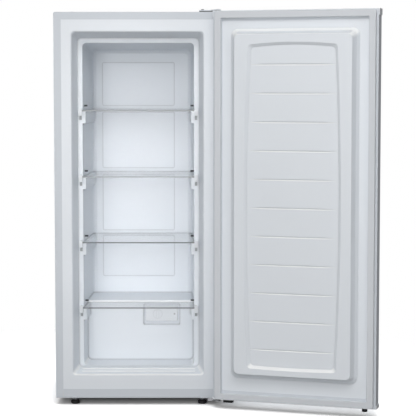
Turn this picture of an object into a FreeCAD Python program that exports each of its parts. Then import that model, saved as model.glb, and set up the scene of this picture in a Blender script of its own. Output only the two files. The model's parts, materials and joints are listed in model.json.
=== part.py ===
import FreeCAD, Part
import math
import os

from FreeCAD import Vector

# Upright freezer with one door, standing on four feet. Millimetres, +Z up, the door at the front (-Y).
# The pieces are drawn about the cabinet's middle and then set down with the origin on the floor, under
# the front foot by the hinge.

# ---------------------------------------------------------------- driving dimensions: cabinet
WIDTH = 550.0
HEIGHT = 1280.0  # the cabinet without its feet
DEPTH = 480.0
FOOT_HEIGHT = 25.0  # floor to the cabinet's underside
SHEET = 0.8  # painted steel sheet
SHELL_CORNER = 5.0  # bend between a side and the top
FLANGE = 24.5  # the shell's front flange, seen as a band round the mouth
RAIL_HEIGHT = 30.0  # steel rail across the bottom of the mouth
RAIL_LIP = 22.0  # the rail's lower lip, turned back under the cabinet
SEAM = 0.3  # gap where sheets and mouldings meet

# ---------------------------------------------------------------- driving dimensions: cabinet liner
LINER = 2.0
FLANGE_LAP = 8.0  # how far the liner passes behind the steel flange
JAMB = 58.5  # cabinet's side to the rim of the mouth
LINTEL = 65.0  # cabinet's top to the rim
SILL = 79.0  # cabinet's underside to the rim
RIM_CORNER = 12.0
RIM_SOFTENING = ((0.0, 5.0), (1.6, 2.0), (5.0, 0.0))  # depth and spread of the rim's soft edge
MOUTH_DEPTH = 66.0  # front plane to the shoulder inside the mouth
MOUTH_DRAFT = 14.5  # how far the sides of the mouth close in by the shoulder
MOUTH_DRAFT_TOP = 19.0
SILL_RISE = 15.0
SHOULDER = 16.0  # width of the shoulder at the sides
SHOULDER_TOP = 15.0
SHOULDER_BOTTOM = 2.0
CHAMBER_DEPTH = 382.0  # front plane to the liner's back wall
CHAMBER_TAPER = 10.0  # how far each side wall closes in by the back
CEILING_FALL = 14.0
CHAMBER_CORNER = 14.0
SILL_RIBS = (26.0, 46.0)  # depths of two shallow ribs along the sill
SILL_RIB = 2.4
STEP_DEPTH = 187.0  # front plane to the compressor step
STEP_HEIGHT = 303.0  # cabinet's underside to the step's top
STEP_EDGE = 8.0
BACK_PANELS = ((967.5, 1122.5), (747.5, 948.0), (526.0, 725.5), (362.5, 510.5))
BACK_PANEL_LEFT = 34.0  # back wall's left and right end to the panels
BACK_PANEL_RIGHT = 61.0
BACK_PANEL_CORNER = 7.0
BACK_GROOVE = 3.5  # width and depth of the groove round each panel
BACK_GROOVE_DEPTH = 1.4
CHANNEL_RUNS = 6  # runs of the refrigerant channel behind the back wall

# ---------------------------------------------------------------- driving dimensions: shelves
SHELF_COUNT = 4
SHELF_FIRST = 296.0  # cabinet's underside to the middle of the lowest glass
SHELF_PITCH = 220.0
GLASS = 4.0
GLASS_FRONT = 43.0  # front plane to the front edge of the glass
GLASS_SIDE_GAP = 1.2
GLASS_BACK_GAP = 2.0
LEDGE = 9.5  # how far a ledge stands out of the side wall
LEDGE_HEIGHT = 40.0
LEDGE_GAP = 0.3  # under the glass
PEG_LENGTH = 11.0  # black peg in the side wall over the glass, that keeps it from tipping
PEG_RADIUS = 2.8
PEG_ROOT = 1.7  # how far a peg reaches into the wall
PEG_DEPTH = 118.0
PEG_LIFT = 16.0
EAR = 5.0  # how much wider the glass is in front of the shoulder
EAR_END = 62.0  # front plane to the back of the ears
GLASS_CORNER = 3.0
CAP_WIDTH = 10.5  # white end cap on a shelf's front corner
CAP_HEIGHT = 23.5
CAP_RISE = 7.0  # how far it stands over the middle of the glass
CAP_LENGTH = 20.0
CAP_GRIP = 3.0  # how far the glass enters it
SLOT_WIDTH = 8.0  # slot in the shoulder under each cap
SLOT_HEIGHT = 14.0
SLOT_DROP = 17.0  # middle of the glass to the slot's upper end
SLOT_DEPTH = 8.0

# ---------------------------------------------------------------- driving dimensions: door
DOOR_BOTTOM = 5.0  # cabinet's underside to the door's lower edge
DOOR_OVER = 1.5  # how far the door stands over the cabinet's top
DOOR_SKIN_DEPTH = 50.0  # panel face to its return
CAP_PROUD = 2.5  # how far the end caps stand out of the panel
CAP_TOP_HEIGHT = 20.0
CAP_BOTTOM_HEIGHT = 12.0
PANEL_EDGE = 8.0
CAP_EDGE = 10.0
GASKET = 12.0  # height of the seal
GASKET_INSET = 9.5  # door's side to the seal
GASKET_WIDTH = 21.6
GASKET_GAP = 0.3  # seal to the cabinet's flange, door closed
DOOR_RETURN = 33.0  # width of the panel's return round the inside of the door
DOOR_LINER = 3.0
DYKE_SIDE = 63.0  # door's side to the foot of the raised dyke
DYKE_TOP = 59.5
DYKE_BOTTOM = 77.0
DYKE_RISE = 30.0  # foot to face
DYKE_TOE = 9.0  # run of the flared foot
DYKE_TOE_RISE = 9.0
DYKE_DRAFT = 8.4  # further run up to the face
DYKE_CORNER = 22.0
RECESS_DEPTH = 7.0
RECESS_WALL = 9.5  # run of the recess's sloping wall
RECESS_WAIST = 161.0  # half width of the recess at the middle of its height
RECESS_END = 147.5  # and at its ends
RECESS_TOP_RIM = 33.0  # dyke's face to the recess at its corners
RECESS_BOTTOM_RIM = 20.3
RECESS_BOW_TOP = 8.0
RECESS_BOW_BOTTOM = 3.0
RECESS_CORNER = 10.0
GROOVE_COUNT = 11
GROOVE_PITCH = 92.3
GROOVE_FIRST = 178.5  # door's lower edge to the lowest groove
GROOVE_LENGTH = 295.0
GROOVE_WIDTH = 7.0
GROOVE_DEPTH = 2.0
GROOVE_RUN_OUT = 45.0  # length over which it fades out at each end
GROOVE_FADE = 0.08  # share of its depth that is left at the very end

# ---------------------------------------------------------------- driving dimensions: hinges and feet
OPEN_ANGLE = 162.3  # how far the door stands open
PIN_IN = 11.0  # door's side to the hinge axis
PIN_OUT = 33.0  # front plane to the hinge axis
PIN_RADIUS = 3.5
PIN_FIT = 0.05
BUSH_RADIUS = 6.0
BUSH_HEIGHT = 14.0
BOSS_WALL = 1.5
HINGE_PLATE = 3.0
HINGE_ARM = 12.0  # radius of the arm round the pin
HINGE_SHIM = 3.0
HINGE_FOOT_IN = 61.0  # hinge axis to the plate's inner end
HINGE_FOOT_FRONT = 10.0
HINGE_FOOT_BACK = 75.0
SCREW_RADIUS = 2.5
SCREW_HEAD = 5.2  # screw's axis to a corner of its hexagon
SCREW_RISE = 3.6
STOP_IN = 34.5  # hinge axis to the middle of the stop
STOP_LONG = 32.0
STOP_WIDE = 22.0
STOP_DROP = 8.0
PLUG_IN = 42.5  # door's other side to the plug in the spare hinge hole
PLUG_RADIUS = 9.0
FOOT_IN = 62.0  # cabinet's side to the middle of a foot
FRONT_FOOT_Y = 30.0  # front plane to the front feet
REAR_FOOT_Y = 40.0  # cabinet's back to the rear feet
PAD_RADIUS = 15.0
PAD_HEIGHT = 14.0
STUD_RADIUS = 4.0
STUD_TALL = 30.0
THREAD_FIT = 0.25
TUNNEL_GAP = 1.2  # foam to the stud's free end
NUT_REACH = 7.5  # stud's axis to a corner of its hexagon
NUT_HEIGHT = 5.0
SOCKET_FLOOR = 4.0  # floor to the stud's end in the pad

# ---------------------------------------------------------------- driving dimensions: compressor bay
BAY_DEPTH = 245.0  # front plane to the bay's front wall
BAY_HEIGHT = 247.0  # cabinet's underside to its roof
TRAY_LIP = 16.0
TRAY_SHEET = 1.5
COMPRESSOR_IN = 205.0  # cabinet's left side to the compressor's middle
COMPRESSOR_BACK = 118.0  # cabinet's back to the compressor's middle
COMPRESSOR_LONG = 92.0
COMPRESSOR_WIDE = 70.0
COMPRESSOR_TALL = 150.0
POT_SEAM = 1.0  # how far the weld flange stands out
POT_FLAT = 6.0  # half of the short straight at each end of its plan
POT_CHORDS = 5
GROMMET_HEIGHT = 14.0
GROMMET_RADIUS = 11.0
BOLT_RADIUS = 3.0
BOLT_X = 85.0
BOLT_Y = 50.0
PIPE_RADIUS = 3.2
PIPE_BEND = 18.0
DISCHARGE_OUT = 60.0  # compressor's right end to the discharge pipe's drop
SUCTION_OUT = 95.0  # and to the suction pipe
DRIER_OUT = 150.0  # and to the filter drier
DRIER_LONG = 150.0
DRIER_RADIUS = 9.0
CAPILLARY_RADIUS = 2.5
BEAD_IN = 125.0  # back panel's side to its stiffening bead
BEAD_WIDTH = 12.0
BEAD_END = 60.0

# ---------------------------------------------------------------- driving dimensions: thermostat
DIAL_IN = 202.0  # cabinet's right side to the middle of the recess in the step
DIAL_POCKET_WIDTH = 128.0
DIAL_POCKET_BOTTOM = 216.0
DIAL_POCKET_TOP = 291.0
DIAL_POCKET_DEPTH = 9.0
DIAL_MARGIN = 8.0
DIAL_HEIGHT = 53.0
DIAL_LIFT = 13.0  # pocket's lower edge to the housing
DIAL_THICK = 10.0
KNOB_RADIUS = 15.5
KNOB_HEIGHT = 9.0
KNOB_OFFSET = 14.0  # recess's middle to the knob
SHAFT_RADIUS = 3.0
SHAFT_FIT = 0.05
DIAL_SCREW_RADIUS = 1.6

# ---------------------------------------------------------------- how finely small curves are drawn
FEW = 2  # straight chords in place of an arc on small or hidden corners
SOME = 4  # and on corners in plain sight
PIPE_SIDES = 8
PIPE_CHORDS = 5
SMALL_SIDES = 12  # sides of a small round piece or hole that nothing turns in
ROUND_SIDES = 20

# ---------------------------------------------------------------- places worked out from them
FRONT = -DEPTH / 2.0
BACK = DEPTH / 2.0
BASE = FOOT_HEIGHT
TOP = BASE + HEIGHT
HALF = WIDTH / 2.0
RIM_X = HALF - JAMB
RIM_LOW = BASE + SILL
RIM_HIGH = TOP - LINTEL
MOUTH_X = RIM_X - MOUTH_DRAFT
MOUTH_LOW = RIM_LOW + SILL_RISE
MOUTH_HIGH = RIM_HIGH - MOUTH_DRAFT_TOP
CHAMBER_X = MOUTH_X - SHOULDER
CHAMBER_LOW = MOUTH_LOW + SHOULDER_BOTTOM
CHAMBER_HIGH = MOUTH_HIGH - SHOULDER_TOP
STEP_Y = FRONT + STEP_DEPTH
STEP_TOP = BASE + STEP_HEIGHT
BAY_Y = FRONT + BAY_DEPTH
BAY_TOP = BASE + BAY_HEIGHT
PIN_X = HALF - PIN_IN
PIN_Y = FRONT - PIN_OUT
DOOR_LOW = BASE + DOOR_BOTTOM
DOOR_HIGH = TOP + DOOR_OVER
RETURN_Y = FRONT - GASKET_GAP - GASKET  # plane of the panel's return, door closed
FACE_Y = RETURN_Y - DOOR_SKIN_DEPTH  # door's outer face
PANEL_X = HALF - CAP_PROUD
BACK_X = CHAMBER_X - CHAMBER_TAPER
PANELS_X = (BACK_PANEL_LEFT - BACK_X, BACK_X - BACK_PANEL_RIGHT)
STOP_X = PIN_X - STOP_IN
PLUG_X = HALF - PLUG_IN
FOOT_X = HALF - FOOT_IN
COMPRESSOR_X = COMPRESSOR_IN - HALF
COMPRESSOR_Y = BACK - COMPRESSOR_BACK
COMPRESSOR_END = COMPRESSOR_X + COMPRESSOR_LONG
PLATE_LOW = BASE + TRAY_SHEET + GROMMET_HEIGHT  # underside of the compressor's mounting plate
DIAL_MIDDLE_X = HALF - DIAL_IN
KNOB_X = DIAL_MIDDLE_X - KNOB_OFFSET
SHELVES = [BASE + SHELF_FIRST + SHELF_PITCH * n for n in range(SHELF_COUNT)]


# ---------------------------------------------------------------- drawing helpers
def front_view(y):
    return lambda u, v: Vector(u, y, v)


def side_view(x):
    return lambda u, v: Vector(x, u, v)


def plan_view(z):
    return lambda u, v: Vector(u, v, z)


def chorded(start, stop, centre, chords):
    """Points along the arc from start to stop, joined by that many straight chords."""
    first, last = start - centre, stop - centre
    turn = first.getAngle(last)
    points = []
    for step in range(chords + 1):
        share = step / chords
        points.append(centre + (first * math.sin((1 - share) * turn) + last * math.sin(share * turn))
                      * (1 / math.sin(turn)))
    return points


def rounded(corners):
    """Tangent points, crown, radius and centre of the arc at each (u, v, radius) corner, in the plane."""
    spans = []
    for index, (u, v, radius) in enumerate(corners):
        here = Vector(u, v, 0)
        to_last = Vector(*corners[index - 1][:2], 0) - here
        to_next = Vector(*corners[(index + 1) % len(corners)][:2], 0) - here
        to_last.normalize()
        to_next.normalize()
        half = to_last.getAngle(to_next) / 2.0
        middle = to_last + to_next
        middle.normalize()
        reach = radius / math.tan(half)
        start = here + to_last * reach
        crown = here + middle * (radius / math.sin(half) - radius)
        stop = here + to_next * reach
        centre = here + middle * (radius / math.sin(half))
        spans.append((start, crown, stop, radius, centre))
    return spans


def ring(corners, place, chords):
    """Corner points of the same outline with every arc drawn as straight chords."""
    points = []
    for start, _, stop, radius, centre in rounded(corners):
        points += chorded(start, stop, centre, chords) if radius > 0 else [start]
    return [place(point.x, point.y) for point in points]


def outline(corners, place, chords=0):
    """Closed wire through (u, v, radius) corners: straight runs joined by tangent arcs or their chords."""
    if chords:
        points = ring(corners, place, chords)
        return Part.makePolygon(points + points[:1])
    spans = rounded(corners)
    edges = []
    for index, (start, crown, stop, radius, _) in enumerate(spans):
        if radius > 0:
            arc = [place(point.x, point.y) for point in (start, crown, stop)]
            edges.append(Part.Arc(*arc).toShape())
        after = spans[(index + 1) % len(spans)][0]
        if (after - stop).Length > 1e-6:
            edges.append(Part.makeLine(place(stop.x, stop.y), place(after.x, after.y)))
    return Part.Wire(edges)


def prism(corners, place, reach, chords=0):
    return Part.Face(outline(corners, place, chords)).extrude(reach)


def rectangle(u0, u1, v0, v1, radius=0.0):
    return [(u0, v0, radius), (u1, v0, radius), (u1, v1, radius), (u0, v1, radius)]


def box(x0, x1, y0, y1, z0, z1):
    return Part.makeBox(x1 - x0, y1 - y0, z1 - z0, Vector(x0, y0, z0))


def rod(radius, start, stop):
    axis = stop - start
    return Part.makeCylinder(radius, axis.Length, start, axis)


def stacked(rings):
    """Solid with flat faces between rings of as many points each, every ring in a plane of its own."""
    faces = [Part.Face(Part.makePolygon(points + points[:1])) for points in (rings[0], rings[-1])]
    for near, far in zip(rings, rings[1:]):
        for index in range(len(near)):
            after = (index + 1) % len(near)
            around = [near[index], near[after], far[after], far[index], near[index]]
            faces.append(Part.Face(Part.makePolygon(around)))
    solid = Part.Solid(Part.Shell(faces))
    if solid.Volume < 0:
        solid.reverse()
    return solid


def ring_points(radius, sides):
    """Corners of a regular polygon round the origin."""
    step = 2 * math.pi / sides
    return [(radius * math.cos(step * (n + 0.5)), radius * math.sin(step * (n + 0.5))) for n in range(sides)]


def post(sides, x, y, stations):
    """Upright many-sided post about (x, y) through (radius, z) stations."""
    levels = []
    for radius, z in stations:
        levels.append([Vector(x + u, y + v, z) for u, v in ring_points(radius, sides)])
    return stacked(levels)


def peg(sides, radius, start, stop):
    """Many-sided rod along X or Y."""
    axis = stop - start
    corners = ring_points(radius, sides)
    if abs(axis.x) > abs(axis.y):
        points = [start + Vector(0, u, v) for u, v in corners]
    else:
        points = [start + Vector(u, 0, v) for u, v in corners]
    return Part.Face(Part.makePolygon(points + points[:1])).extrude(axis)


def tube(radius, points, bend):
    """Thin many-sided rod along straight runs joined by tangent bends; the first run is along X."""
    level = [points[0] + Vector(0, u, v) for u, v in ring_points(radius, PIPE_SIDES)]
    levels = [level]
    here = points[0]
    for before, corner, after in zip(points, points[1:], points[2:]):
        inward = (corner - before).normalize()
        outward = (after - corner).normalize()
        turn = inward.getAngle(outward)
        start = corner - inward * (bend * math.tan(turn / 2.0))
        centre = start + (outward - inward * math.cos(turn)).normalize() * bend
        hinge = inward.cross(outward)
        level = [point + (start - here) for point in level]
        levels.append(level)
        for step in range(1, PIPE_CHORDS + 1):
            swing = FreeCAD.Rotation(hinge, math.degrees(turn) * step / PIPE_CHORDS)
            levels.append([centre + swing.multVec(point - centre) for point in level])
        level = levels[-1]
        here = corner + outward * (bend * math.tan(turn / 2.0))
    levels.append([point + (points[-1] - here) for point in level])
    return stacked(levels)


def cut(solid, *tools):
    return solid.cut(list(tools)) if tools else solid


def join(solid, *others):
    return solid.fuse(list(others)).removeSplitter()


# ---------------------------------------------------------------- cabinet: steel
def make_outer_shell():
    """Sides and top bent from one sheet, with the flange turned in round the mouth."""
    block = prism(
        [(-HALF, BASE, 0), (HALF, BASE, 0), (HALF, TOP, SHELL_CORNER), (-HALF, TOP, SHELL_CORNER)],
        front_view(FRONT), Vector(0, DEPTH, 0), SOME)
    inner = HALF - SHEET
    bend = SHELL_CORNER - SHEET
    room = prism(
        [(-inner, BASE - 1, 0), (inner, BASE - 1, 0),
         (inner, TOP - SHEET, bend), (-inner, TOP - SHEET, bend)],
        front_view(FRONT + SHEET), Vector(0, DEPTH, 0), SOME)
    window = box(FLANGE - HALF, HALF - FLANGE, FRONT - 1, FRONT + 2 * SHEET, BASE - 1, TOP - FLANGE)
    return cut(block, room, window)


def make_front_rail():
    """Face between the legs of the flange, with its lower lip turned back."""
    half = HALF - FLANGE - SEAM
    face = box(-half, half, FRONT, FRONT + SHEET, BASE, BASE + RAIL_HEIGHT)
    lip = box(-half, half, FRONT, FRONT + RAIL_LIP, BASE, BASE + SHEET)
    return join(face, lip)


def make_bottom_panel():
    half = HALF - SHEET - SEAM
    return box(-half, half, FRONT + SHEET, BAY_Y, BASE + SHEET, BASE + 2 * SHEET).cut(stud_tunnels())


def make_bay_panel():
    """Sheet that rises in front of the bay and runs back over it."""
    half = HALF - SHEET - SEAM
    low = BASE + SHEET
    corners = [
        (BAY_Y, low, 0), (BAY_Y + SHEET, low, 0), (BAY_Y + SHEET, BAY_TOP - SHEET, SHEET),
        (BACK - SHEET, BAY_TOP - SHEET, 0), (BACK - SHEET, BAY_TOP, 0), (BAY_Y, BAY_TOP, 2 * SHEET)]
    return prism(corners, side_view(-half), Vector(2 * half, 0, 0), FEW)


def make_back_panel():
    """Back sheet with an upright stiffening bead pressed in near each side."""
    half = HALF - SHEET - SEAM
    low, high = BAY_TOP - SHEET, TOP - SHEET - SEAM
    sheet = prism(
        [(-half, low, 0), (half, low, 0), (half, high, SHELL_CORNER), (-half, high, SHELL_CORNER)],
        front_view(BACK - SHEET), Vector(0, SHEET, 0), FEW)
    beads = []
    for side in (-1, 1):
        middle = side * (HALF - BEAD_IN)
        beads.append(box(middle - BEAD_WIDTH / 2, middle + BEAD_WIDTH / 2, BACK - 2 * SHEET, BACK - SHEET,
                         BAY_TOP + BEAD_END, TOP - BEAD_END))
    return join(sheet, *beads)


def make_base_tray():
    """Cross tray between the shell's sides, under the compressor, with lips turned up all round."""
    half = HALF - SHEET - SEAM
    tray = box(-half, half, BAY_Y + SHEET + SEAM, BACK, BASE, BASE + TRAY_LIP)
    room = box(-half + TRAY_SHEET, half - TRAY_SHEET, BAY_Y + SHEET + SEAM + TRAY_SHEET, BACK - TRAY_SHEET,
               BASE + TRAY_SHEET, BASE + TRAY_LIP + 1)
    holes = [post(6, x, y, ((BOLT_RADIUS, BASE - 1), (BOLT_RADIUS, BASE + 5))) for x, y in bolt_places()]
    return cut(tray, room, *holes)


# ---------------------------------------------------------------- cabinet: liner
def ledge(side, low, high, face_shift, start_depth, stop_depth):
    """Shelf support along one side wall; its face follows the wall's taper."""
    slope = CHAMBER_TAPER / (CHAMBER_DEPTH - MOUTH_DEPTH)
    faces = []
    for depth in (start_depth, stop_depth):
        wall = CHAMBER_X - slope * (depth - MOUTH_DEPTH)
        faces.append((side * (wall - LEDGE + face_shift), FRONT + depth))
    beyond = side * (CHAMBER_X + SHOULDER)
    corners = [(*faces[0], 0), (*faces[1], 0),
               (beyond, FRONT + stop_depth, 0), (beyond, FRONT + start_depth, 0)]
    return prism(corners, plan_view(low), Vector(0, 0, high - low))


def step_block(grow):
    """What the compressor step takes out of the chamber, with a rounded front edge."""
    y = STEP_Y + grow
    z = STEP_TOP - grow
    corners = [(y, BASE, 0), (BACK, BASE, 0), (BACK, z, 0), (y, z, STEP_EDGE - grow)]
    return prism(corners, side_view(-HALF), Vector(WIDTH, 0, 0), SOME)


def panel_groove(low, high):
    """Narrow groove in the back wall round one of its panels, open to the room."""
    x0, x1 = PANELS_X
    wall = FRONT + CHAMBER_DEPTH
    reach = Vector(0, BACK_GROOVE_DEPTH + 1.0, 0)
    panel = prism(rectangle(x0, x1, low, high, BACK_PANEL_CORNER), front_view(wall - 1.0), reach, FEW)
    w = BACK_GROOVE
    island = prism(rectangle(x0 + w, x1 - w, low + w, high - w, BACK_PANEL_CORNER - w),
                   front_view(wall - 2.0), reach + Vector(0, 2, 0), FEW)
    return panel.cut(island)


def shelf_slot(side, shelf, grow):
    """Blind slot in the shoulder under a shelf's end cap."""
    outer = cap_outer() - 1.0
    inner = outer - SLOT_WIDTH
    high = shelf - SLOT_DROP
    x0, x1 = sorted((side * (inner - grow), side * (outer + grow)))
    return box(x0, x1, FRONT + MOUTH_DEPTH - 3, FRONT + MOUTH_DEPTH + SLOT_DEPTH + grow,
               high - SLOT_HEIGHT - grow, high + grow)


def cavity(grow):
    """The room inside the liner, grown by `grow`: 0 gives the liner's inner face, LINER its outer face."""
    rims = []
    for depth, spread in RIM_SOFTENING:
        out = grow + spread - MOUTH_DRAFT * depth / MOUTH_DEPTH
        rise = SILL_RISE * depth / MOUTH_DEPTH - spread
        fall = MOUTH_DRAFT_TOP * depth / MOUTH_DEPTH - spread
        rims.append(ring(
            rectangle(-RIM_X - out, RIM_X + out, RIM_LOW + rise - grow, RIM_HIGH - fall + grow, RIM_CORNER),
            front_view(FRONT + depth), SOME))
    rims.append(ring(
        rectangle(-MOUTH_X - grow, MOUTH_X + grow, MOUTH_LOW - grow, MOUTH_HIGH + grow, RIM_CORNER),
        front_view(FRONT + MOUTH_DEPTH + grow), SOME))
    mouth = stacked(rims)
    ratio = 1.0 / (CHAMBER_DEPTH - MOUTH_DEPTH)
    rear_high = CHAMBER_HIGH - CEILING_FALL
    sections = []
    for depth, tuck in ((MOUTH_DEPTH, 0), (CHAMBER_DEPTH - CHAMBER_CORNER, 0),
                        (CHAMBER_DEPTH - 0.3 * CHAMBER_CORNER, 0.29 * CHAMBER_CORNER),
                        (CHAMBER_DEPTH, CHAMBER_CORNER)):
        share = (depth - MOUTH_DEPTH) * ratio
        half = CHAMBER_X - CHAMBER_TAPER * share - tuck + grow
        high = CHAMBER_HIGH + (rear_high - CHAMBER_HIGH) * share - tuck + grow
        push = grow if depth > MOUTH_DEPTH else 0
        sections.append(ring(rectangle(-half, half, CHAMBER_LOW - grow, high, CHAMBER_CORNER),
                             front_view(FRONT + depth + push), SOME))
    chamber = stacked(sections)
    ledges = []
    slots = []
    for shelf in SHELVES:
        high = shelf - GLASS / 2.0 - LEDGE_GAP
        for side in (-1, 1):
            ledges.append(ledge(side, high - LEDGE_HEIGHT + grow, high - grow, grow, MOUTH_DEPTH + grow,
                                CHAMBER_DEPTH + LINER))
            slots.append(shelf_slot(side, shelf, grow))
    half_dial = DIAL_POCKET_WIDTH / 2.0 + grow
    pocket = prism(
        rectangle(DIAL_MIDDLE_X - half_dial, DIAL_MIDDLE_X + half_dial, BASE + DIAL_POCKET_BOTTOM - grow,
                  BASE + DIAL_POCKET_TOP + grow, 6.0),
        front_view(STEP_Y - 10), Vector(0, 10 + DIAL_POCKET_DEPTH + grow, 0), SOME)
    room = chamber.cut([step_block(grow)] + ledges)
    return room.fuse([mouth, pocket] + slots).removeSplitter()


def liner_flange():
    """Flat rim of the liner, tucked behind the steel flange and the rail."""
    half = HALF - FLANGE + FLANGE_LAP
    low = BASE + RAIL_HEIGHT - FLANGE_LAP
    high = TOP - FLANGE + FLANGE_LAP
    return prism(rectangle(-half, half, low, high, 3.0), front_view(FRONT + SHEET), Vector(0, LINER, 0), FEW)


def make_liner(room):
    solid = cavity(LINER).common(box(-HALF, HALF, FRONT + SHEET, BACK, BASE, TOP)).fuse(liner_flange())
    grooves = [panel_groove(BASE + low, BASE + high) for low, high in BACK_PANELS]
    solid = solid.cut([room] + grooves)
    ribs = []
    rise = math.atan2(SILL_RISE, MOUTH_DEPTH)
    for depth in SILL_RIBS:
        z = RIM_LOW + depth * math.tan(rise)
        half = MOUTH_X - RIM_CORNER
        corners = [(FRONT + depth - 4, z - 1.6, 0), (FRONT + depth + 4, z - 0.2, 0),
                   (FRONT + depth + 1.5, z + SILL_RIB, 1.0), (FRONT + depth - 1.5, z + SILL_RIB - 0.4, 1.0)]
        ribs.append(prism(corners, side_view(-half), Vector(2 * half, 0, 0), FEW))
    return join(solid, *ribs)


def shelf_pegs():
    """Where each peg's axis crosses the side wall, and which way is into the room."""
    slope = CHAMBER_TAPER / (CHAMBER_DEPTH - MOUTH_DEPTH)
    wall = CHAMBER_X - slope * (PEG_DEPTH - MOUTH_DEPTH)
    y = FRONT + PEG_DEPTH
    return [(Vector(side * wall, y, shelf + PEG_LIFT), -side) for shelf in SHELVES for side in (-1, 1)]


def make_shelf_pegs():
    """Black pegs pushed into the side walls over the glass."""
    pegs = []
    for spot, inward in shelf_pegs():
        root = spot - Vector(inward * PEG_ROOT, 0, 0)
        pegs.append(peg(6, PEG_RADIUS, root, spot + Vector(inward * PEG_LENGTH, 0, 0)))
    return Part.makeCompound(pegs)


def make_evaporator_plate():
    """Aluminium plate against the back wall, with its raised channel running to and fro behind it."""
    x0, x1 = PANELS_X[0] - 8, PANELS_X[1] + 8
    low = BASE + BACK_PANELS[-1][0] - 8
    high = BASE + BACK_PANELS[0][1] + 8
    y = FRONT + CHAMBER_DEPTH + LINER
    plate = box(x0, x1, y, y + 1.0, low, high)
    runs = []
    pitch = (high - low - 60) / (CHANNEL_RUNS - 1)
    for index in range(CHANNEL_RUNS):
        z = low + 30 + pitch * index
        runs.append(box(x0 + 20, x1 - 20, y + 1.0, y + 5.0, z - 4, z + 4))
        if index < CHANNEL_RUNS - 1:
            turn = x1 - 28 if index % 2 == 0 else x0 + 20
            runs.append(box(turn, turn + 8, y + 1.0, y + 5.0, z, z + pitch))
    return join(plate, *runs)


# ---------------------------------------------------------------- cabinet: feet and bay
def foot_spots():
    return [(side * FOOT_X, FRONT + FRONT_FOOT_Y) for side in (-1, 1)]


def rear_spots():
    return [(side * FOOT_X, BACK - REAR_FOOT_Y) for side in (-1, 1)]


def bolt_places():
    return [(COMPRESSOR_X + a * BOLT_X, COMPRESSOR_Y + b * BOLT_Y) for a in (-1, 1) for b in (-1, 1)]


def stud_tunnels():
    """Clear room in the cabinet's underside for the studs of the front feet."""
    wide = STUD_RADIUS + TUNNEL_GAP
    stations = ((wide, BASE - 1), (wide, PAD_HEIGHT + STUD_TALL + 4))
    return [post(SMALL_SIDES, x, y, stations) for x, y in foot_spots()]


def make_foot_brackets():
    """Threaded plates over the bottom panel that the front studs screw into."""
    plates = []
    for x, y in foot_spots():
        low = BASE + 2 * SHEET
        plate = box(x - 22, x + 22, FRONT + 2 * SHEET, y + 25, low, low + 3.0)
        wide = STUD_RADIUS + THREAD_FIT
        plates.append(plate.cut(post(SMALL_SIDES, x, y, ((wide, BASE), (wide, BASE + 10)))))
    return Part.makeCompound(plates)


def make_rear_feet():
    """Plain moulded feet under the tray's back corners."""
    feet = []
    for x, y in rear_spots():
        feet.append(post(SMALL_SIDES, x, y, ((PAD_RADIUS - 2, 0), (PAD_RADIUS, BASE))))
    return Part.makeCompound(feet)


def foot_pad(x, y):
    """Black pad that tapers a little, hollow round the stud's head."""
    stations = ((PAD_RADIUS - 3, 0), (PAD_RADIUS - 0.5, 3), (PAD_RADIUS, PAD_HEIGHT - 3),
                (STUD_RADIUS + 5, PAD_HEIGHT))
    socket = rod(STUD_RADIUS + PIN_FIT, Vector(x, y, SOCKET_FLOOR), Vector(x, y, PAD_HEIGHT + 1))
    return post(ROUND_SIDES, x, y, stations).cut(socket)


def foot_stud(x, y):
    """Levelling screw with a hexagon under the cabinet to turn it by."""
    seat = PAD_HEIGHT + SEAM
    end = rod(STUD_RADIUS, Vector(x, y, SOCKET_FLOOR), Vector(x, y, seat))
    nut = post(6, x, y, ((NUT_REACH, seat), (NUT_REACH, seat + NUT_HEIGHT)))
    shank = post(SMALL_SIDES, x, y, ((STUD_RADIUS, seat), (STUD_RADIUS, PAD_HEIGHT + STUD_TALL)))
    return join(end, nut, shank)


def make_compressor():
    """Drawn steel pot: two domed halves with the weld flange between them, on a mounting plate."""
    y = COMPRESSOR_Y
    low = PLATE_LOW
    long, wide = BOLT_X + 14, BOLT_Y + 12
    plate = prism(rectangle(COMPRESSOR_X - long, COMPRESSOR_X + long, y - wide, y + wide, 8.0),
                  plan_view(low), Vector(0, 0, 3.0), FEW)
    wide = BOLT_RADIUS + 0.5
    plate = plate.cut([post(6, a, b, ((wide, low - 1), (wide, low + 4))) for a, b in bolt_places()])

    def level(z, inset):
        long, wide = COMPRESSOR_LONG - inset, COMPRESSOR_WIDE - inset
        return ring(rectangle(COMPRESSOR_X - long, COMPRESSOR_X + long, y - wide, y + wide, wide - POT_FLAT),
                    plan_view(low + z), POT_CHORDS)

    tall = COMPRESSOR_TALL
    seam = 0.52 * tall
    pot = stacked([level(3, 18), level(14, 6), level(seam, 2), level(0.82 * tall, 8), level(0.95 * tall, 22),
                   level(tall, 44)])
    flange = stacked([level(seam - 3, -POT_SEAM), level(seam + 3, -POT_SEAM)])
    return join(pot, plate, flange)


def make_compressor_grommets():
    low = BASE + TRAY_SHEET
    bushes = []
    for x, y in bolt_places():
        bush = post(SMALL_SIDES, x, y, ((GROMMET_RADIUS, low), (GROMMET_RADIUS - 2, low + GROMMET_HEIGHT / 2),
                                        (GROMMET_RADIUS, low + GROMMET_HEIGHT)))
        hole = post(6, x, y, ((BOLT_RADIUS, low - 1), (BOLT_RADIUS, low + GROMMET_HEIGHT + 1)))
        bushes.append(bush.cut(hole))
    return Part.makeCompound(bushes)


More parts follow.
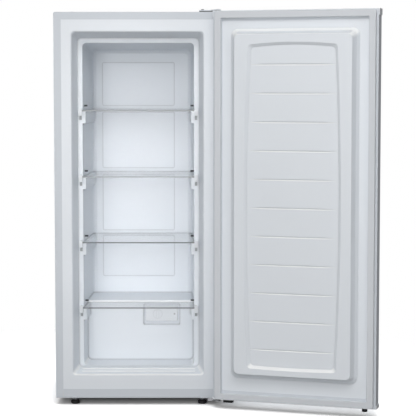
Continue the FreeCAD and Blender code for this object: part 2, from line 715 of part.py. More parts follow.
def make_compressor_bolts():
    """Bolts with a washer and a hexagon, through the plate, the grommets and the tray."""
    top = PLATE_LOW + 3.0
    bolts = []
    for x, y in bolt_places():
        shank = post(6, x, y, ((BOLT_RADIUS, BASE), (BOLT_RADIUS, top)))
        washer = post(SMALL_SIDES, x, y, ((GROMMET_RADIUS - 3, top), (GROMMET_RADIUS - 3, top + 2)))
        head = post(6, x, y, ((2 * BOLT_RADIUS - 1, top + 2), (2 * BOLT_RADIUS - 1, top + 6)))
        bolts.append(join(shank, washer, head))
    return Part.makeCompound(bolts)


def make_relay_cover():
    """Moulded box over the compressor's terminals, on the pot's left end."""
    y = COMPRESSOR_Y
    face = COMPRESSOR_X - COMPRESSOR_LONG - POT_SEAM - SEAM
    return prism(rectangle(face - 34, face, y - 26, y + 26, 5.0), plan_view(PLATE_LOW + 30),
                 Vector(0, 0, 62), SOME)


def discharge_route():
    """Line from the compressor's front to the bay's front wall."""
    x, y, z = COMPRESSOR_END, COMPRESSOR_Y, PLATE_LOW + 60
    out = x + DISCHARGE_OUT
    low = z - 40
    return [Vector(x, y, z), Vector(out, y, z), Vector(out, y, low), Vector(out, BAY_Y + SHEET, low)]


def suction_route():
    """Line from the bay's roof down to the compressor's back quarter."""
    x, y, z = COMPRESSOR_END, COMPRESSOR_Y + 25, PLATE_LOW + 40
    return [Vector(x, y, z), Vector(x + SUCTION_OUT, y, z), Vector(x + SUCTION_OUT, y, BAY_TOP - SHEET)]


def make_filter_drier():
    """Upright drier under the bay's roof, drawn down to a thin tube at both ends."""
    low, high = BAY_TOP - DRIER_LONG, BAY_TOP - SHEET
    thin, wide = CAPILLARY_RADIUS, DRIER_RADIUS
    stations = ((thin, low), (thin, low + 14), (wide, low + 26),
                (wide, high - 46), (thin, high - 34), (thin, high))
    return post(SMALL_SIDES, COMPRESSOR_END + DRIER_OUT, COMPRESSOR_Y - 20, stations)


# ---------------------------------------------------------------- thermostat
def dial_frame():
    """Left, right, lower and upper edge of the thermostat's housing, and the y of its face."""
    half = DIAL_POCKET_WIDTH / 2.0 - DIAL_MARGIN
    low = BASE + DIAL_POCKET_BOTTOM + DIAL_LIFT
    floor = STEP_Y + DIAL_POCKET_DEPTH
    return DIAL_MIDDLE_X - half, DIAL_MIDDLE_X + half, low, low + DIAL_HEIGHT, floor


def knob_middle():
    low, high = dial_frame()[2:4]
    return KNOB_X, (low + high) / 2.0


def make_thermostat_housing():
    x0, x1, low, high, floor = dial_frame()
    face = floor - DIAL_THICK
    slab = stacked([ring(rectangle(x0, x1, low, high, 6.0), front_view(floor), SOME),
                    ring(rectangle(x0 + 2, x1 - 2, low + 2, high - 2, 5.0), front_view(face), SOME)])
    return cut(slab, spindle_hole(face - 1, floor + 1), *dial_screw_shanks(face - 1, floor + 1))


def spindle_hole(start, stop):
    """Clear hole for the knob's shaft between two depths."""
    x, z = knob_middle()
    return peg(SMALL_SIDES, SHAFT_RADIUS + 1.0, Vector(x, start, z), Vector(x, stop, z))


def dial_screws():
    """X of each screw through the housing, level with the knob."""
    return [dial_frame()[1] - 12.0]


def dial_screw_shanks(start, stop):
    z = knob_middle()[1]
    return [peg(6, DIAL_SCREW_RADIUS, Vector(x, start, z), Vector(x, stop, z)) for x in dial_screws()]


def make_thermostat_screws():
    face = dial_frame()[4] - DIAL_THICK
    z = knob_middle()[1]
    screws = []
    for x, shank in zip(dial_screws(), dial_screw_shanks(face, dial_frame()[4] + LINER)):
        head = peg(SMALL_SIDES, 2 * DIAL_SCREW_RADIUS, Vector(x, face - 1.2, z), Vector(x, face, z))
        screws.append(join(head, shank))
    return Part.makeCompound(screws)


def thermostat_case():
    """Outside of the switch box behind the liner."""
    x, z = knob_middle()
    behind = dial_frame()[4] + LINER
    return box(x - 16, x + 30, behind, behind + 22, z - 14, z + 14)


def make_thermostat_body():
    """Switch box with the bore that carries the knob's shaft."""
    x, z = knob_middle()
    behind = dial_frame()[4] + LINER
    bore = rod(SHAFT_RADIUS + SHAFT_FIT, Vector(x, behind - 1, z), Vector(x, behind + 14, z))
    return thermostat_case().cut(bore)


def make_thermostat_shaft():
    x, z = knob_middle()
    face, behind = dial_frame()[4] - DIAL_THICK, dial_frame()[4] + LINER
    return rod(SHAFT_RADIUS, Vector(x, face - KNOB_HEIGHT + 3, z), Vector(x, behind + 13, z))


def make_thermostat_knob():
    """Round knob with a raised grip bar, on the housing's face."""
    x, z = knob_middle()
    face = dial_frame()[4] - DIAL_THICK - 0.4
    skirt = peg(ROUND_SIDES, KNOB_RADIUS, Vector(x, face - 3.5, z), Vector(x, face, z))
    crown = peg(ROUND_SIDES, KNOB_RADIUS - 1.5, Vector(x, face - 5.0, z), Vector(x, face - 3.5, z))
    reach = KNOB_RADIUS - 2.5
    grip = prism(rectangle(x - 3.0, x + 3.0, z - reach, z + reach, 2.5), front_view(face - KNOB_HEIGHT),
                 Vector(0, KNOB_HEIGHT - 3, 0), FEW)
    bore = rod(SHAFT_RADIUS, Vector(x, face - KNOB_HEIGHT + 3.4, z), Vector(x, face + 1, z))
    return join(skirt, crown, grip).cut(bore)


# ---------------------------------------------------------------- shelves
def glass_half(depth):
    """Half width of a pane at a depth: it follows the side walls' taper."""
    slope = CHAMBER_TAPER / (CHAMBER_DEPTH - MOUTH_DEPTH)
    return CHAMBER_X - slope * (depth - MOUTH_DEPTH) - GLASS_SIDE_GAP


def make_shelf_glass(index):
    """Pane on its ledges; the lowest one stops at the compressor step."""
    z = SHELVES[index]
    wall = STEP_DEPTH if z - GLASS / 2.0 < STEP_TOP else CHAMBER_DEPTH
    rear = wall - GLASS_BACK_GAP
    front = glass_half(MOUTH_DEPTH)
    back = glass_half(rear)
    ear = front + EAR
    right = [(ear, FRONT + GLASS_FRONT, GLASS_CORNER), (ear, FRONT + EAR_END, 0), (front, FRONT + EAR_END, 0),
             (front, FRONT + MOUTH_DEPTH, 0), (back, FRONT + rear, 12.0)]
    left = [(-x, y, radius) for x, y, radius in reversed(right)]
    return prism(right + left, plan_view(z - GLASS / 2.0), Vector(0, 0, GLASS), SOME)


def cap_outer():
    """Half the distance over both end caps of a shelf."""
    return glass_half(MOUTH_DEPTH) + EAR - CAP_GRIP + CAP_WIDTH


def make_shelf_caps(index):
    """White moulded end caps, slotted over the pane's front corners."""
    z = SHELVES[index]
    outer = cap_outer()
    y0 = FRONT + GLASS_FRONT - 3.0
    caps = []
    for side in (-1, 1):
        inner = outer - CAP_WIDTH
        low, high = z + CAP_RISE - CAP_HEIGHT, z + CAP_RISE
        corners = [(side * inner, low, 2.0), (side * outer, low, 2.0),
                   (side * outer, high, 3.0), (side * inner, high, 3.0)]
        caps.append(prism(corners, front_view(y0), Vector(0, CAP_LENGTH, 0), FEW))
    glass = make_shelf_glass(index)
    return Part.makeCompound([cap.cut(glass) for cap in caps])


# ---------------------------------------------------------------- door, drawn closed
def door_plan(half, face, back, edge):
    """Plan of the door's wrap: rounded at the two outer vertical edges."""
    return [(-half, back, 0), (-half, face, edge), (half, face, edge), (half, back, 0)]


def make_door_panel():
    """Steel face and sides with a return turned in round the back."""
    low, high = DOOR_LOW + CAP_PROUD, DOOR_HIGH - CAP_PROUD
    block = prism(door_plan(PANEL_X, FACE_Y, RETURN_Y, PANEL_EDGE), plan_view(low),
                  Vector(0, 0, high - low), SOME)
    room = prism(door_plan(PANEL_X - SHEET, FACE_Y + SHEET, RETURN_Y - SHEET, PANEL_EDGE - SHEET),
                 plan_view(low - 1), Vector(0, 0, high - low + 2), SOME)
    half = HALF - DOOR_RETURN
    window = prism(rectangle(-half, half, DOOR_LOW + DOOR_RETURN, DOOR_HIGH - DOOR_RETURN, 4.0),
                   front_view(RETURN_Y - 2 * SHEET), Vector(0, 4 * SHEET, 0), FEW)
    return cut(block, room, window)


def dyke_body(shrink):
    """The raised dyke from its foot over the flared toe to its face, shrunk by `shrink`."""
    base_y = RETURN_Y - SHEET - shrink
    stations = [(0.0, 0.0, DYKE_CORNER), (DYKE_TOE, DYKE_TOE_RISE, DYKE_CORNER - 3),
                (DYKE_TOE + DYKE_DRAFT, DYKE_RISE - 1.5, DYKE_CORNER - 6),
                (DYKE_TOE + DYKE_DRAFT + 1.5, DYKE_RISE, DYKE_CORNER - 7)]
    levels = []
    for run, rise, corner in stations:
        inset = run + shrink
        levels.append(ring(
            rectangle(-HALF + DYKE_SIDE + inset, HALF - DYKE_SIDE - inset, DOOR_LOW + DYKE_BOTTOM + inset,
                      DOOR_HIGH - DYKE_TOP - inset, corner),
            front_view(base_y + rise), SOME))
    return stacked(levels)


def dyke_face():
    """Lower and upper edge of the dyke's face, and its y."""
    run = DYKE_TOE + DYKE_DRAFT + 1.5
    return DOOR_LOW + DYKE_BOTTOM + run, DOOR_HIGH - DYKE_TOP - run, RETURN_Y - SHEET + DYKE_RISE


def recess_outline(inset, y):
    """Bowed frame of the recess: four shallow arcs with rounded corners."""
    face_low, face_high, _ = dyke_face()
    end, waist = RECESS_END - inset, RECESS_WAIST - inset
    low, high = face_low + RECESS_BOTTOM_RIM + inset, face_high - RECESS_TOP_RIM - inset
    middle = (low + high) / 2.0
    top, bottom = high + RECESS_BOW_TOP, low - RECESS_BOW_BOTTOM
    r = RECESS_CORNER
    place = front_view(y)
    lean = (waist - end) * 4.0 * r / (high - low)
    drop_top = RECESS_BOW_TOP * 2.0 * r / end
    drop_bottom = RECESS_BOW_BOTTOM * 2.0 * r / end
    bow = r * (1 - math.sqrt(0.5))
    arcs = [
        ((-end - lean, low + r), (-waist, middle), (-end - lean, high - r)),
        ((-end - lean, high - r), (-end + bow, high - bow + drop_top / 2), (-end + r, high + drop_top)),
        ((-end + r, high + drop_top), (0, top), (end - r, high + drop_top)),
        ((end - r, high + drop_top), (end - bow, high - bow + drop_top / 2), (end + lean, high - r)),
        ((end + lean, high - r), (waist, middle), (end + lean, low + r)),
        ((end + lean, low + r), (end - bow, low + bow - drop_bottom / 2), (end - r, low - drop_bottom)),
        ((end - r, low - drop_bottom), (0, bottom), (-end + r, low - drop_bottom)),
        ((-end + r, low - drop_bottom), (-end + bow, low + bow - drop_bottom / 2), (-end - lean, low + r))]
    return Part.Wire([Part.Arc(*[place(u, v) for u, v in arc]).toShape() for arc in arcs])


def recess(grow):
    """The shallow panel sunk into the dyke's face, grown by `grow` all round and behind."""
    y = dyke_face()[2]
    return Part.makeLoft([
        recess_outline(-grow - RECESS_WALL * 0.25, y + RECESS_DEPTH * 0.25),
        recess_outline(RECESS_WALL - grow, y - RECESS_DEPTH - grow)], True, True)


def groove(z):
    """Shallow V across the recess that fades out at both ends."""
    y = dyke_face()[2] - RECESS_DEPTH
    half, rise = GROOVE_LENGTH / 2.0, GROOVE_WIDTH / 2.0

    def section(x, size):
        return [Vector(x, y + 0.2 * size, z - rise * size), Vector(x, y - GROOVE_DEPTH * size, z),
                Vector(x, y + 0.2 * size, z + rise * size)]

    return stacked([section(-half, GROOVE_FADE), section(-half + GROOVE_RUN_OUT, 1.0),
                    section(half - GROOVE_RUN_OUT, 1.0), section(half, GROOVE_FADE)])


def groove_heights():
    return [DOOR_LOW + GROOVE_FIRST + GROOVE_PITCH * n for n in range(GROOVE_COUNT)]


def dyke_core():
    """Foam inside the dyke, behind the liner's wall and round the back of the recess."""
    return dyke_body(DOOR_LINER).cut(recess(DOOR_LINER))


def liner_seat():
    """Half width, lower and upper edge of the door liner's flat rim."""
    lap = DOOR_RETURN - FLANGE_LAP
    return HALF - lap, DOOR_LOW + lap, DOOR_HIGH - lap


def make_door_liner():
    half, low, high = liner_seat()
    back = RETURN_Y - SHEET - DOOR_LINER
    rim = prism(rectangle(-half, half, low, high, 4.0), front_view(back), Vector(0, DOOR_LINER, 0), FEW)
    solid = dyke_body(0).fuse(rim)
    return solid.cut([recess(0), dyke_core()] + [groove(z) for z in groove_heights()])


def door_room():
    """Inside of the panel and between the end caps."""
    low, high = DOOR_LOW + CAP_PROUD, DOOR_HIGH - CAP_PROUD
    return prism(door_plan(PANEL_X - SHEET, FACE_Y + SHEET, RETURN_Y - SHEET, PANEL_EDGE - SHEET),
                 plan_view(low), Vector(0, 0, high - low), SOME)


def make_door_foam():
    half, low, high = liner_seat()
    back = RETURN_Y - SHEET - DOOR_LINER
    seat = prism(rectangle(-half, half, low, high, 4.0), front_view(back),
                 Vector(0, DOOR_LINER + SHEET, 0), FEW)
    wells = [hinge_well(False), hinge_well(True)]
    caps = [cap_plug(False), cap_plug(True)]
    return door_room().cut([seat] + wells + caps).fuse(dyke_core()).removeSplitter()


def make_door_gasket():
    """Seal round the back of the door: a footed ring with pulled-in sides and a groove down its face."""
    outer = HALF - GASKET_INSET
    low, high = DOOR_LOW + 2.0, DOOR_HIGH - 3.5
    steps = ((0.0, 0.0), (2.5, 0.0), (5.0, 2.2), (7.5, 0.4), (GASKET - 1.0, 0.4), (GASKET, 1.4))

    def frame(inset, y):
        return ring(rectangle(-outer + inset, outer - inset, low + inset, high - inset, 9.0),
                    front_view(y), SOME)

    def window(inset, y):
        far = GASKET_WIDTH - inset
        return ring(rectangle(-outer + far, outer - far, low + far, high - far, 3.0),
                    front_view(y), FEW)

    outside = stacked([frame(inset, RETURN_Y + rise) for rise, inset in steps])
    inside = stacked([window(inset, RETURN_Y + rise) for rise, inset in steps])
    return outside.cut(inside)


def cap_plug(top):
    """The part of an end cap that sits inside the panel."""
    z0 = DOOR_HIGH - CAP_PROUD - 3.0 if top else DOOR_LOW + CAP_PROUD
    boss = hinge_boss(top)
    slab = prism(door_plan(PANEL_X - SHEET, FACE_Y + SHEET, RETURN_Y - SHEET, PANEL_EDGE - SHEET),
                 plan_view(z0), Vector(0, 0, 3.0), SOME)
    return slab.fuse(boss)


def hinge_boss(top):
    """Round boss in the cap that holds the hinge bush."""
    z0 = DOOR_HIGH - CAP_PROUD - BUSH_HEIGHT - 3.0 if top else DOOR_LOW + CAP_PROUD
    wide = BUSH_RADIUS + BOSS_WALL
    return post(SMALL_SIDES, PIN_X, PIN_Y, ((wide, z0), (wide, z0 + BUSH_HEIGHT + 3.0)))


def hinge_well(top):
    """Twelve-sided seat for the bush, open to the hinge, so that the bush can't turn in it."""
    z0, z1 = (DOOR_HIGH - BUSH_HEIGHT, DOOR_HIGH + 1) if top else (DOOR_LOW - 1, DOOR_LOW + BUSH_HEIGHT)
    return post(SMALL_SIDES, PIN_X, PIN_Y, ((BUSH_RADIUS, z0), (BUSH_RADIUS, z1)))


def make_door_cap(top):
    """Moulded end cap: a plate over the end of the door with a skirt round the outside of the panel."""
    height = CAP_TOP_HEIGHT if top else CAP_BOTTOM_HEIGHT
    z0, z1 = (DOOR_HIGH - height, DOOR_HIGH) if top else (DOOR_LOW, DOOR_LOW + height)
    shell = prism(door_plan(HALF, FACE_Y - CAP_PROUD, RETURN_Y, CAP_EDGE), plan_view(z0),
                  Vector(0, 0, height), SOME)
    low, high = (z0 - 1, DOOR_HIGH - CAP_PROUD) if top else (DOOR_LOW + CAP_PROUD, z1 + 1)
    panel = prism(door_plan(PANEL_X, FACE_Y, RETURN_Y + 1, PANEL_EDGE), plan_view(low),
                  Vector(0, 0, high - low), SOME)
    solid = shell.cut(panel).fuse(cap_plug(top))
    return solid.cut(hinge_well(top)).removeSplitter()


def make_hinge_bush(top):
    """Plastic bush in its well with a collar outside it; the pin turns in its round bore."""
    wide = BUSH_RADIUS + 2.5
    if top:
        z0, z1 = DOOR_HIGH - BUSH_HEIGHT, TOP + HINGE_SHIM - SEAM
        collar = post(SMALL_SIDES, PIN_X, PIN_Y, ((wide, DOOR_HIGH), (wide, z1)))
    else:
        z0, z1 = BASE + SEAM, DOOR_LOW + BUSH_HEIGHT
        collar = post(SMALL_SIDES, PIN_X, PIN_Y, ((wide, z0), (wide, DOOR_LOW)))
    body = join(post(SMALL_SIDES, PIN_X, PIN_Y, ((BUSH_RADIUS, z0), (BUSH_RADIUS, z1))), collar)
    return body.cut(rod(PIN_RADIUS + PIN_FIT, Vector(PIN_X, PIN_Y, z0 - 1), Vector(PIN_X, PIN_Y, z1 + 1)))


def make_door_stop():
    """Black block under the door by the hinge; it meets the bracket's arm when the door is fully open."""
    half = STOP_LONG / 2
    corners = rectangle(STOP_X - half, STOP_X + half, PIN_Y - STOP_WIDE, PIN_Y, 3.0)
    return prism(corners, plan_view(BASE - STOP_DROP), Vector(0, 0, STOP_DROP + DOOR_BOTTOM), FEW)


def make_door_plug():
    """Black plug in the spare hinge hole at the other end of the door."""
    low = BASE - STOP_DROP
    stations = ((PLUG_RADIUS - 1, low), (PLUG_RADIUS, low + 1), (PLUG_RADIUS, DOOR_LOW))
    return post(ROUND_SIDES, -PLUG_X, PIN_Y, stations)


# ---------------------------------------------------------------- hinges
def hinge_plan():
    """Plan of a hinge plate: a foot on the cabinet and an arm forward to the pin."""
    arm = HINGE_ARM
    return [
        (PIN_X - HINGE_FOOT_IN, FRONT + HINGE_FOOT_FRONT, 6.0),
        (PIN_X - 18.0, FRONT + HINGE_FOOT_FRONT - 6.0, 8.0),
        (PIN_X - arm, PIN_Y - arm, arm - 0.05), (PIN_X + arm - 1.0, PIN_Y - arm, arm - 1.0),
        (PIN_X + arm - 1.0, FRONT + 14.0, 12.0), (PIN_X - 2.0, FRONT + HINGE_FOOT_BACK, 8.0),
        (PIN_X - HINGE_FOOT_IN, FRONT + HINGE_FOOT_BACK, 6.0)]


def hinge_screws_at():
    x = PIN_X - HINGE_FOOT_IN
    return [(x + 10.0, FRONT + HINGE_FOOT_BACK - 11.0), (x + 44.0, FRONT + HINGE_FOOT_BACK - 11.0),
            (x + 12.0, FRONT + HINGE_FOOT_FRONT + 12.0)]


def make_hinge_top_plate():
    low = TOP + HINGE_SHIM
    plate = prism(hinge_plan(), plan_view(low), Vector(0, 0, HINGE_PLATE), SOME)
    return cut(plate, pin_tenon(low - 1, low + 10), *screw_holes(low, hinge_screws_at()))


def pin_tenon(z0, z1):
    """Twelve-sided end of a hinge pin, pressed through its plate."""
    return post(SMALL_SIDES, PIN_X, PIN_Y, ((PIN_RADIUS, z0), (PIN_RADIUS, z1)))


def screw_holes(low, spots):
    """Holes through a hinge sheet whose underside is at `low`."""
    return [post(6, x, y, ((SCREW_RADIUS, low - 1), (SCREW_RADIUS, low + 10))) for x, y in spots]


def make_hinge_top_shim():
    x = PIN_X - HINGE_FOOT_IN
    y0, y1 = FRONT + HINGE_FOOT_FRONT + 1.5, FRONT + HINGE_FOOT_BACK - 1.5
    slab = prism(rectangle(x + 1.5, PIN_X - 4.0, y0, y1, 5.0), plan_view(TOP), Vector(0, 0, HINGE_SHIM), FEW)
    return cut(slab, *screw_holes(TOP, hinge_screws_at()))


def make_hinge_top_pin():
    """Pin riveted in the plate, down into the door's upper bush."""
    plate = TOP + HINGE_SHIM
    top = plate + HINGE_PLATE
    pin = rod(PIN_RADIUS, Vector(PIN_X, PIN_Y, DOOR_HIGH - BUSH_HEIGHT + 1.0), Vector(PIN_X, PIN_Y, plate))
    head = post(SMALL_SIDES, PIN_X, PIN_Y, ((PIN_RADIUS + 1.8, top), (PIN_RADIUS + 0.8, top + 1.4)))
    return join(pin, pin_tenon(plate, top), head)


def screw(x, y, seat, rise, reach):
    """Hexagon-headed screw through a sheet: the head on `seat`, the shank the other way by `reach`."""
    shank = post(6, x, y, ((SCREW_RADIUS, seat), (SCREW_RADIUS, seat - math.copysign(reach, rise))))
    head = post(6, x, y, ((SCREW_HEAD, seat), (SCREW_HEAD, seat + rise)))
    return join(shank, head)


def make_hinge_top_screws():
    seat = TOP + HINGE_SHIM + HINGE_PLATE
    reach = HINGE_PLATE + HINGE_SHIM
    return Part.makeCompound([screw(x, y, seat, SCREW_RISE, reach) for x, y in hinge_screws_at()])


def make_hinge_bottom_bracket():
    """Plate under the cabinet with an arm to the lower pin and a lip turned down at the front."""
    low = BASE - HINGE_PLATE
    plate = prism(hinge_plan(), plan_view(low), Vector(0, 0, HINGE_PLATE), SOME)
    lip = box(PIN_X - 32.0, PIN_X - 17.0, FRONT + HINGE_FOOT_FRONT - 8.0, FRONT + HINGE_FOOT_FRONT - 5.0,
              BASE - 11.0, BASE - 0.5 * HINGE_PLATE)
    wide = STUD_RADIUS + TUNNEL_GAP
    foot = post(SMALL_SIDES, FOOT_X, FRONT + FRONT_FOOT_Y, ((wide, low - 1), (wide, low + 10)))
    holes = screw_holes(low, hinge_screws_at()[:2])
    return cut(join(plate, lip), pin_tenon(low - 1, low + 10), foot, *holes)


def make_hinge_bottom_pin():
    low = BASE - HINGE_PLATE
    pin = rod(PIN_RADIUS, Vector(PIN_X, PIN_Y, BASE), Vector(PIN_X, PIN_Y, DOOR_LOW + BUSH_HEIGHT - 1.0))
    head = post(SMALL_SIDES, PIN_X, PIN_Y, ((PIN_RADIUS + 2.0, low - 1.6), (PIN_RADIUS + 2.0, low)))
    return join(pin, pin_tenon(low, BASE), head)


def make_hinge_bottom_screws():
    seat = BASE - HINGE_PLATE
    return Part.makeCompound([screw(x, y, seat, -SCREW_RISE, HINGE_PLATE) for x, y in hinge_screws_at()[:2]])


def make_hinge_hole_plugs():
    """Caps in the holes for a hinge on the other side of the cabinet's top."""
    plugs = []
    for x, y in hinge_screws_at():
        plugs.append(post(SMALL_SIDES, -x, y, ((6.0, TOP), (4.6, TOP + 1.6))))
    return Part.makeCompound(plugs)


def make_cabinet_foam(holes):
    """Foam that fills the cabinet between the liner and the steel, and wraps what is bedded in it."""
    half = HALF - SHEET
    low, high = BASE + 2 * SHEET, TOP - SHEET
    bend = SHELL_CORNER - SHEET
    block = prism(
        [(-half, low, 0), (half, low, 0), (half, high, bend), (-half, high, bend)],
        front_view(FRONT + SHEET), Vector(0, DEPTH - 2 * SHEET, 0), SOME)
    bay = box(-HALF, HALF, BAY_Y, BACK, BASE - 1, BAY_TOP)
    return block.cut([bay] + holes)


# ---------------------------------------------------------------- assembly
def opened(shape):
    """A door piece drawn closed, swung about the pins to where the door stands."""
    turn = shape.copy()
    turn.rotate(Vector(PIN_X, PIN_Y, 0), Vector(0, 0, 1), OPEN_ANGLE)
    return turn


def build_parts():
    parts = {}
    room = cavity(0)
    liner = make_liner(room)
    evaporator = make_evaporator_plate()
    thermostat = make_thermostat_body()
    rail = make_front_rail()
    brackets = make_foot_brackets()
    parts["outer_shell"] = make_outer_shell()
    parts["front_rail"] = rail
    parts["bottom_panel"] = make_bottom_panel()
    parts["back_panel"] = make_back_panel()
    parts["bay_panel"] = make_bay_panel()
    parts["base_tray"] = make_base_tray()
    parts["liner"] = liner
    parts["evaporator_plate"] = evaporator
    parts["foot_brackets"] = brackets
    parts["rear_feet"] = make_rear_feet()
    bedded = [cavity(LINER), liner_flange(), evaporator, thermostat_case(), rail, brackets, make_back_panel()]
    parts["cabinet_foam"] = make_cabinet_foam(bedded + stud_tunnels())
    parts["compressor"] = make_compressor()
    parts["compressor_grommets"] = make_compressor_grommets()
    parts["compressor_bolts"] = make_compressor_bolts()
    parts["relay_cover"] = make_relay_cover()
    parts["filter_drier"] = make_filter_drier()
    parts["discharge_pipe"] = tube(PIPE_RADIUS, discharge_route(), PIPE_BEND)
    parts["suction_pipe"] = tube(PIPE_RADIUS, suction_route(), PIPE_BEND)
    beyond = dial_frame()[4] + LINER + 1
    parts["liner"] = liner.cut(
        [spindle_hole(STEP_Y, beyond)] + dial_screw_shanks(STEP_Y, beyond) + make_shelf_pegs().Solids)
    parts["shelf_pegs"] = make_shelf_pegs()
    parts["thermostat_housing"] = make_thermostat_housing()
    parts["thermostat_body"] = thermostat
    parts["thermostat_screws"] = make_thermostat_screws()
    parts["thermostat_knob"] = make_thermostat_knob()
    parts["thermostat_shaft"] = make_thermostat_shaft()
    parts["hinge_top_plate"] = make_hinge_top_plate()
    parts["hinge_top_shim"] = make_hinge_top_shim()
    parts["hinge_top_pin"] = make_hinge_top_pin()
    parts["hinge_top_screws"] = make_hinge_top_screws()
    parts["hinge_bottom_bracket"] = make_hinge_bottom_bracket()
    parts["hinge_bottom_pin"] = make_hinge_bottom_pin()
    parts["hinge_bottom_screws"] = make_hinge_bottom_screws()
    parts["hinge_hole_plugs"] = make_hinge_hole_plugs()
    for index in range(SHELF_COUNT):
        parts[f"shelf_glass_{index + 1}"] = make_shelf_glass(index)
        parts[f"shelf_caps_{index + 1}"] = make_shelf_caps(index)
    for name, (x, y) in zip(("left", "right"), foot_spots()):
        parts[f"foot_pad_{name}"] = foot_pad(x, y)
        parts[f"foot_stud_{name}"] = foot_stud(x, y)
    door = {
        "door_panel": make_door_panel(),
        "door_liner": make_door_liner(),
        "door_foam": make_door_foam(),
        "door_gasket": make_door_gasket(),
        "door_cap_top": make_door_cap(True),
        "door_cap_bottom": make_door_cap(False),
        "hinge_bush_top": make_hinge_bush(True),
        "hinge_bush_bottom": make_hinge_bush(False),
        "door_stop": make_door_stop(),
        "door_plug": make_door_plug(),
    }
    for name, shape in door.items():
        parts[name] = opened(shape)
    for shape in parts.values():
        shape.translate(Vector(-FOOT_X, -FRONT - FRONT_FOOT_Y, 0))
    return parts


def main():
    os.makedirs("parts", exist_ok=True)
    for name, shape in build_parts().items():
        solids = shape.Solids
        valid = shape.isValid()
        print(f"{name}: {len(solids)} solid(s), {shape.Volume / 1000:.1f} cm3, valid {valid}")
        shape.exportStep(f"parts/{name}.step")


main()
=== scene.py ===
import json
import math

import bpy
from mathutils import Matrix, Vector

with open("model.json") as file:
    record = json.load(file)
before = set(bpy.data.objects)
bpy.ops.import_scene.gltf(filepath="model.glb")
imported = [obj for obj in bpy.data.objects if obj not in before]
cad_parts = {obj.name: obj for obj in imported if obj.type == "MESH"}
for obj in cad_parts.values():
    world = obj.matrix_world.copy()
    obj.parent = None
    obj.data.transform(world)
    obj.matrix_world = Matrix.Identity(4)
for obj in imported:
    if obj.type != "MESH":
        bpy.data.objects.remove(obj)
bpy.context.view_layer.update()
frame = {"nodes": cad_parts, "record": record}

NODES = frame["nodes"]

# ---- camera, in metres, degrees and millimetres of lens: in front of the cabinet, a little right, tilted down
CABINET = Vector((-0.213, 0.210, 0.0))  # its middle on the floor; the origin is under its right front foot
CAMERA_AT = CABINET + Vector((0.2323, -5.340, 1.0604))
CAMERA_TILT = 4.482
LENS = 133.86
SENSOR = 36.0

# ---- floor and backdrop
SKY = 0.21  # strength of the world as light; to the camera it is plain white
WHITE = 1.0
FLOOR_SIZE = 30.0
FLOOR_AT = (0, 6, 0)
FLOOR_SEEN = 3.60  # brightness of the floor's colour to the camera, so that it shows white where it is lit
FLOOR_BOUNCE = 0.42  # and as it bounces light
# painted shadow: the floor's colour is darkened where the object is close above it
FLOOR_UNDER = 0.50  # how much of that is left where the object is close above it
FLOOR_NEAR = 0.16  # metres that count as close
FLOOR_FADE = (0.75, 1.5)  # metres from the cabinet over which the floor fades into the white backdrop

# ---- lamps: name, place, aim, size, watts, spread in degrees, and whether it lights the floor too;
# places and aims are in metres from the middle of the cabinet's base
WIDE = 180.0
LAMPS = (
    ("key", (-1.7, -3.6, 2.9), (0.25, 0.0, 0.7), (2.2, 2.2), 20.0, WIDE, True),
    ("fill", (1.7, -3.6, 2.9), (0.0, 0.0, 0.7), (2.2, 2.2), 19.0, WIDE, True),
    ("overhead", (0.1, -3.2, 4.1), (0.2, -0.3, 0.2), (2.4, 1.4), 48.0, WIDE, True),
    ("front", (-0.3, -4.2, 0.95), (0.25, 0.0, 0.55), (1.8, 1.5), 44.0, WIDE, True),
    ("beam", (0.09, -2.2, 1.2), (-0.035, 0.1, 0.62), (0.24, 0.9), 0.25, 16.0, True),
    ("rear", (1.3, 4.0, 2.7), (0.1, 0.2, 0.55), (2.4, 2.2), 70.0, WIDE, False),
    ("rear_left", (-3.6, 1.6, 2.2), (-0.2, 0.1, 0.6), (2.0, 2.0), 28.0, WIDE, False),
)

# ---- surfaces
NOISE_SPAN = (0.3, 0.7)  # the part of a noise's range that its colours and gloss are spread over
OPENNESS = (0.35, 0.95)  # ambient occlusion values that count as closed in and as open
OCCLUSION_SAMPLES = 8
UNCHANGED = (1, 1, 1, 1)
# painted highlight on bevels that face up
PAINTED_BEVEL_HIGHLIGHT = (1.2, 1.17, 1.12, 1)  # how much paler a bevel that faces up looks
BEVEL_RISE = (0.08, 0.30)  # upward parts of the normal between which that sets in
BEVEL_FALL = (0.75, 0.9)  # and ends, so that level faces stay as they are

# ---- how solid the shelf glass looks, from 0 for clear to 1
# the veil's whitish colour, thicker at a grazing angle, is a painted reflection
GLASS_VEIL = (0.06, 0.42)  # its faces, seen straight on and at a grazing angle
GLASS_EDGE = 0.95  # its front and rear edges
GLASS_SIDES = 0.4  # the share of an edge's look that its side edges have
GLASS_EDGE_SHADOW = 0.12  # an edge passes most light on, so it casts almost no line on the wall behind
GLASS_BEHIND = 0.12  # the share that is left of it all on the faces seen from inside the glass
GLASS_GRAZING = 0.25
GLASS_IOR = 1.5
GLASS_EDGE_COLOUR = (0.195, 0.208, 0.216, 1)


# ------------------------------------------------------------------ node helpers
def new_material(name):
    """A material with its node tree, links and shader."""
    material = bpy.data.materials.new(name)
    material.use_nodes = True
    nodes, links = material.node_tree.nodes, material.node_tree.links
    return material, nodes, links, nodes["Principled BSDF"]


def place_texture(nodes, links, scale):
    """Noise laid out in the object's own metres."""
    coordinates = nodes.new("ShaderNodeTexCoord")
    noise = nodes.new("ShaderNodeTexNoise")
    noise.inputs["Scale"].default_value = scale
    links.new(coordinates.outputs["Object"], noise.inputs["Vector"])
    return noise


def spread(nodes, links, source, low, high):
    """A texture's value moved to the range low..high."""
    remap = nodes.new("ShaderNodeMapRange")
    remap.inputs["From Min"].default_value, remap.inputs["From Max"].default_value = NOISE_SPAN
    remap.inputs["To Min"].default_value = low
    remap.inputs["To Max"].default_value = high
    links.new(source, remap.inputs["Value"])
    return remap.outputs["Result"]


